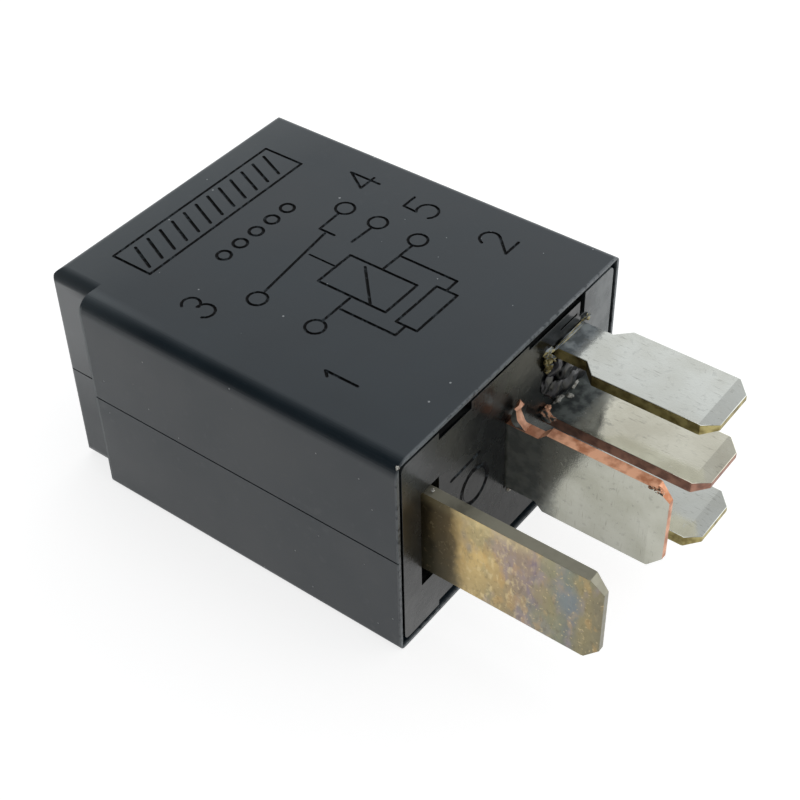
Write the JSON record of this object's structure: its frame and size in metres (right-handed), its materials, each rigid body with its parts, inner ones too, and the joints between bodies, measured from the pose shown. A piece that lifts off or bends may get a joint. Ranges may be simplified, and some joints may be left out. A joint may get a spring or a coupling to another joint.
{
  "type": "automotive relay",
  "caption": "Plug-in micro relay with a changeover contact: sealed black cover, moulded base, blade terminals and a clapper magnet that moves inside.",
  "frame": {"origin": "centre of the whole relay's box in plan, on the large flat side that it lies on", "axes": "+X along the terminals, away from the cover; +Z out of the marked face, up as it lies; +Y towards the side of the three small terminals"},
  "size_m": [0.0384, 0.0226, 0.0153],
  "materials": {
    "cover_plastic": "satin",
    "base_plastic": "satin",
    "sealant": "gloss",
    "tinned_brass": "satin tin over brass, bare brass at the cut edges",
    "tarnished_brass": "tarnished",
    "tinned_copper": "satin tin over copper, bare copper at the cut edges",
    "soft_iron": "satin",
    "bobbin_plastic": "matte",
    "copper_wire": "gloss enamel",
    "tape": "gloss",
    "spring_bronze": "satin",
    "rivet_steel": "satin",
    "contact_silver": "satin",
    "resistor_lacquer": "gloss"
  },
  "bodies": {
    "housing": {"cover": "cover_plastic", "base": "base_plastic", "sealant": "sealant", "terminal_1": "tinned_brass", "terminal_2": "tinned_brass", "terminal_3": "tarnished_brass", "terminal_4": "tinned_copper", "terminal_5": "tinned_copper", "yoke": "soft_iron", "core": "soft_iron", "bobbin": "bobbin_plastic", "winding": "copper_wire", "coil_tape": "tape", "coil_leads": "copper_wire", "yoke_rivets": "rivet_steel", "contact_closed": "contact_silver", "contact_open": "contact_silver", "resistor": "resistor_lacquer", "resistor_caps": "rivet_steel", "resistor_leads": "rivet_steel"},
    "armature": {"armature": "soft_iron", "leaf_spring": "spring_bronze", "armature_rivets": "rivet_steel", "moving_contact": "contact_silver"}
  },
  "joints": [
    {"name": "armature_hinge", "type": "hinge", "parent": "housing", "child": "armature", "pos_m": [-0.01333, -0.0074, 0.00765], "axis": [0, 0, -1], "range_deg": [0, 3], "stiffness_Nm_per_rad": 0.05, "springref_deg": -2.29, "deforming": ["leaf_spring"]}
  ]
}
